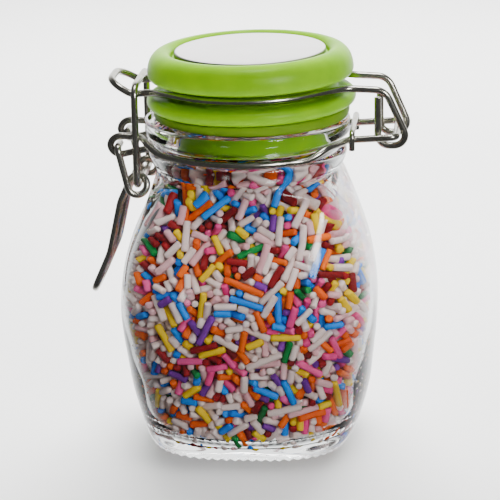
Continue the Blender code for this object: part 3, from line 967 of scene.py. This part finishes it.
def rods_mesh(name, chosen):
    """Points = middle line + radius (cos a side + sin a over), for all the chosen rods at once."""
    begin, finish = rod_start[chosen], rod_end[chosen]
    count = len(begin)
    way = finish - begin
    long = np.linalg.norm(way, axis=1)
    way = way / long[:, None]
    helper = np.where(np.abs(way[:, 2:]) < 0.9, (0.0, 0.0, 1.0), (1.0, 0.0, 0.0))
    side = np.cross(way, helper)
    side /= np.linalg.norm(side, axis=1)[:, None]
    over = np.cross(way, side)
    thick = ROD_R * rod_thick[chosen]
    blunt = rod_blunt[chosen][:, None]
    size = RING_SIZE + (1 - RING_SIZE) * blunt * 0.45
    rows = len(RING_SHARE)
    shift = RING_SHARE * long[:, None] + RING_BEYOND * thick[:, None]
    bow = rod_bow[chosen][:, None] * (0.5 - 2 * (RING_SHARE - 0.5) ** 2) * long[:, None]
    line = begin[:, None, :] + way[:, None, :] * shift[..., None] + side[:, None, :] * bow[..., None]
    angles = full_turn(ROD_SIDES)[None, :, None]
    around = side[:, None, :] * np.cos(angles) + over[:, None, :] * np.sin(angles)
    radius = (size * thick[:, None])[:, :, None, None]
    grid = line[:, :, None, :] + radius * around[:, None, :, :]
    tips = np.stack([line[:, 0] - way * 0.05, line[:, -1] + way * 0.05], axis=1)
    points = np.concatenate([grid.reshape(count, -1, 3), tips], axis=1)
    each = rows * ROD_SIDES + 2
    offset = (np.arange(count) * each)[:, None, None]
    cells = (grid_faces(rows, ROD_SIDES)[None] + offset).reshape(-1, 4)
    fans = (end_fans(rows, ROD_SIDES)[None] + offset).reshape(-1, 3)
    mesh = mesh_of(name, points.reshape(-1, 3), [cells, fans])
    tone = mesh.attributes.new("tone", "FLOAT", "POINT")
    tone.data.foreach_set("value", np.repeat(rod_tone[chosen], each).astype(np.float32))
    return mesh


rod_thick = draw.normal(1.0, 0.05, RODS).clip(0.88, 1.1)
rod_blunt = draw.uniform(0, 1, RODS)
rod_bow = draw.normal(0, 0.035, RODS).clip(-0.08, 0.08)
rod_tone = draw.uniform(0, 1, RODS)


# %% [markdown]
# ### Sugar
# Sprinkles are dyed sugar paste with a thin, dull glaze. Light goes a little way in and comes out
# again, which softens the shading of the white ones most. Each colour is a share of the heap and a
# pair of close tones, and each rod takes a place between the two.


# %% Sugar colours
def sugar_finish(name, dark, light):
    """One tone for each rod, read from its own number, and a fine crumb over all of them."""
    made, tree, shader = finish_named(
        name, IOR=1.45, Subsurface_Weight=0.06, Subsurface_Radius=(1.0, 0.8, 0.7),
        Subsurface_Scale=0.3 * MM, Specular_IOR_Level=0.2)
    tone = node(tree, "ShaderNodeAttribute", {"attribute_name": "tone"}).outputs["Fac"]
    tree.links.new(ramp_between(tree, dark, light, tone), shader.inputs["Base Color"])
    crumb = grain(tree, 0.30, 3.0)
    varied_roughness(tree, shader, crumb, 0.42, 0.62)
    bumped(tree, shader, crumb, 0.25, 0.04)
    return made


SUGARS = {
    "white": (0.30, "#E6CCC8", "#F8DFDC"),
    "blush": (0.10, "#DCA0A8", "#EEBAC0"),
    "pink": (0.09, "#E0307E", "#F25A9A"),
    "yellow": (0.11, "#E4B800", "#F8D000"),
    "orange": (0.11, "#E05000", "#F66A00"),
    "blue": (0.11, "#0070E0", "#108CF4"),
    "red": (0.09, "#720C12", "#98121A"),
    "purple": (0.05, "#641E86", "#7E34A2"),
    "green": (0.04, "#00642A", "#0C863A"),
}
pick = draw.uniform(0, 1, RODS)
edges = np.concatenate([[0], np.cumsum([share for share, _, _ in SUGARS.values()])])
edges[-1] = 1.001  # just above any draw, so that no rod is left without a colour
for number, (colour, (_, dark, light)) in enumerate(SUGARS.items()):
    chosen = np.flatnonzero((pick >= edges[number]) & (pick < edges[number + 1]))
    name = f"sprinkles_{colour}"
    sugar = sugar_finish(f"{colour} sugar paste", dark, light)
    nodes = ("sprinkles",) if colour == "white" else ()
    add_piece(name, rods_mesh(name, chosen), sugar, "sugar_sprinkles", *nodes)

# %% [markdown]
# The rods fill only a shell behind the glass, because nobody would see the rest. Behind them the heap
# is one mottled core, with cells the size of a rod's end, painted in the dark tones of sprinkles in
# deep shade, and no light comes through it.


# %% Core of the heap
CORE_CELL = 1.9
# painted shade: the sprinkles' own colours, darkened as they look deep inside the heap
CORE_SHADE_TONES = (
    (0.0, "#3A2E2C"), (0.35, "#30201F"), (0.5, "#33190A"), (0.62, "#280707"), (0.74, "#0C1C2E"),
    (0.86, "#322706"),
)


def core_finish():
    """Cells of the sprinkles' own colours in deep shade: each picks a tone by its random number."""
    made, tree, shader = finish_named("shaded sprinkles", Roughness=0.8)
    where = node(tree, "ShaderNodeTexCoord").outputs["Object"]
    settings = {"Scale": 1 / (CORE_CELL * MM)}
    cells = node(tree, "ShaderNodeTexVoronoi", settings, Vector=where).outputs["Color"]
    level = node(tree, "ShaderNodeSeparateColor", Color=cells).outputs["Red"]
    tint = node(tree, "ShaderNodeValToRGB", Fac=level)
    tint.color_ramp.interpolation = "CONSTANT"
    for position, code in CORE_SHADE_TONES:
        spot = tint.color_ramp.elements[0] if position == 0 else tint.color_ramp.elements.new(position)
        spot.position = position
        spot.color = linear(code)
    tree.links.new(tint.outputs["Color"], shader.inputs["Base Color"])
    bumped(tree, shader, grain(tree, 1.6, 2.0), 0.8, 0.6)
    return made


CORE_ROWS = 60
CORE_SECTORS = 96
CORE_SWELL = 0.25


def heap_core():
    """The inner wall's sections drawn in by the shell's depth, with a slow swell of two sine waves."""
    z = np.linspace(FLOOR_Z + 3.4, FILL_TOP_Z - 3.2, CORE_ROWS)[:, None]
    angles = full_turn(CORE_SECTORS)[None, :]
    along_x, along_y = np.cos(angles), np.sin(angles)
    face = np.interp(z, INNER_Z, INNER_FACE)
    corner = np.interp(z, INNER_Z, INNER_CORNER)
    swell = CORE_SWELL * np.sin(9 * angles + 0.7 * z) * np.sin(0.55 * z + 2 * angles)
    reach = square_reach(along_x, along_y, face, corner) - (SHELL - 0.9) + swell
    height = np.broadcast_to(z, reach.shape)
    return skin("sprinkles_core", np.stack([reach * along_x, reach * along_y, height], axis=-1))


add_piece("sprinkles_core", heap_core(), core_finish(), "sugar_sprinkles")

# %% [markdown]
# ## Table and light
# The jar stands on a product table, a sheet of white opal acrylic that curves up behind it and glows
# faintly, lit from below. The sheet is hidden from mirror rays and from rays that pass through the
# glass, as a studio keeps its white veil off glass and plastic with black cards. The glass then shows
# the surroundings instead.


# %% Floor
TABLE_HALF = 2600.0
FLAT_TO_Y = 900.0
BEND_R = 500.0
TABLE_TOP_Z = 2400.0


def floor_sheet():
    """Heights along y: flat, then a quarter circle of 0.5 m up into a wall."""
    bend = np.linspace(0, pi / 2, 16)
    y = np.concatenate([[-TABLE_HALF, 700.0], FLAT_TO_Y + BEND_R * np.sin(bend), [FLAT_TO_Y + BEND_R]])
    z = np.concatenate([[0.0, 0.0], BEND_R - BEND_R * np.cos(bend), [TABLE_TOP_Z]])
    edges_x = (-TABLE_HALF, TABLE_HALF)
    points = np.stack([np.stack([np.full(len(y), x), y, z], axis=-1) for x in edges_x])
    j = np.arange(len(y) - 1)
    faces = np.stack([j, j + len(y), j + len(y) + 1, j + 1], axis=-1)
    return mesh_of("floor", points.reshape(-1, 3), [faces])


def opal_table_finish():
    """Near-white sheet in faint 40 mm clouds, sanded dull, with a faint glow of its own."""
    made, tree, shader = finish_named(
        "opal acrylic table", Roughness=0.9, Emission_Color=linear("#FFFFFF"), Emission_Strength=0.2)
    tint = ramp_between(tree, "#F2F2F1", "#F7F7F6", grain(tree, 40.0, 3.0))
    tree.links.new(tint, shader.inputs["Base Color"])
    bumped(tree, shader, grain(tree, 0.8, 3.0), 0.05, 0.05)
    return made


floor = shown("floor", floor_sheet())
floor.data.materials.append(opal_table_finish())
floor.visible_glossy = False
floor.visible_transmission = False


# %% [markdown]
# Four square lights do the rest: a large one high behind the jar that whitens the table and rims the
# jar, a lamp above the lid, a key in front on the right, and a very weak fill in front on the left.
# The one behind and the fill are hidden from mirror rays, so they leave no white panes on the jar.


# %% Lights
def soft_light(name, place, aim, size, power, spread, in_mirrors=True):
    """A square area light in metres that faces its aim; a grid narrows its beam to the spread."""
    data = bpy.data.lights.new(name, "AREA")
    data.size = size
    data.energy = power
    data.spread = radians(spread)
    light = shown(name, data)
    light.location = place
    light.rotation_euler = (Vector(aim) - Vector(place)).to_track_quat("-Z", "Y").to_euler()
    light.visible_glossy = in_mirrors


soft_light("backdrop", (0.0, 0.52, 0.62), (0, 0.24, 0), 0.6, 11.5, 110, in_mirrors=False)
soft_light("top", (0.05, 0.0, 0.75), (0, 0, 0), 0.35, 0.22, 24)
soft_light("key", (0.53, -0.67, 0.40), (0, 0, 0.06), 0.34, 0.21, 20)
soft_light("fill", (-0.35, -0.80, 0.13), (0, 0, 0.07), 0.3, 0.01, 14, in_mirrors=False)


# %% [markdown]
# ### Surroundings
# The room is dark, apart from a bright screen behind the jar that fades out at both sides and
# overhead, and goes on below the table. Clear glass has no colour of its own. It shows this screen
# bent by its walls, and its edges, which look past the screen, turn dark. A picture of a real studio
# could stand here, but a formula needs no file.


# %% The room
def surroundings(dim, glow):
    """dim + glow * (how far back) * (how low) * (how near the middle), each from 0 to 1."""
    made = bpy.data.worlds.new("studio")
    made.use_nodes = True
    tree = made.node_tree
    way = node(tree, "ShaderNodeTexCoord").outputs["Generated"]
    parts = node(tree, "ShaderNodeSeparateXYZ", _0=way).outputs
    back = node(tree, "ShaderNodeMapRange", {"From Min": 0.05, "From Max": 0.75}, Value=parts["Y"])
    flat = node(tree, "ShaderNodeMapRange", {"From Min": 0.8, "From Max": 0.35}, Value=parts["Z"])
    aside = node(tree, "ShaderNodeMath", {"operation": "ABSOLUTE"}, _0=parts["X"]).outputs[0]
    narrow = node(tree, "ShaderNodeMapRange", {"From Min": 0.90, "From Max": 0.25}, Value=aside)
    times = {"operation": "MULTIPLY"}
    low_back = node(tree, "ShaderNodeMath", times, _0=back.outputs[0], _1=flat.outputs[0])
    screen = node(tree, "ShaderNodeMath", times, _0=low_back.outputs[0], _1=narrow.outputs[0])
    lit = {"To Min": dim, "To Max": dim + glow}
    level = node(tree, "ShaderNodeMapRange", lit, Value=screen.outputs[0])
    tree.nodes["Background"].inputs["Color"].default_value = linear("#F4F5F6")
    tree.links.new(level.outputs[0], tree.nodes["Background"].inputs["Strength"])
    return made


bpy.context.scene.world = surroundings(dim=0.075, glow=3.0)
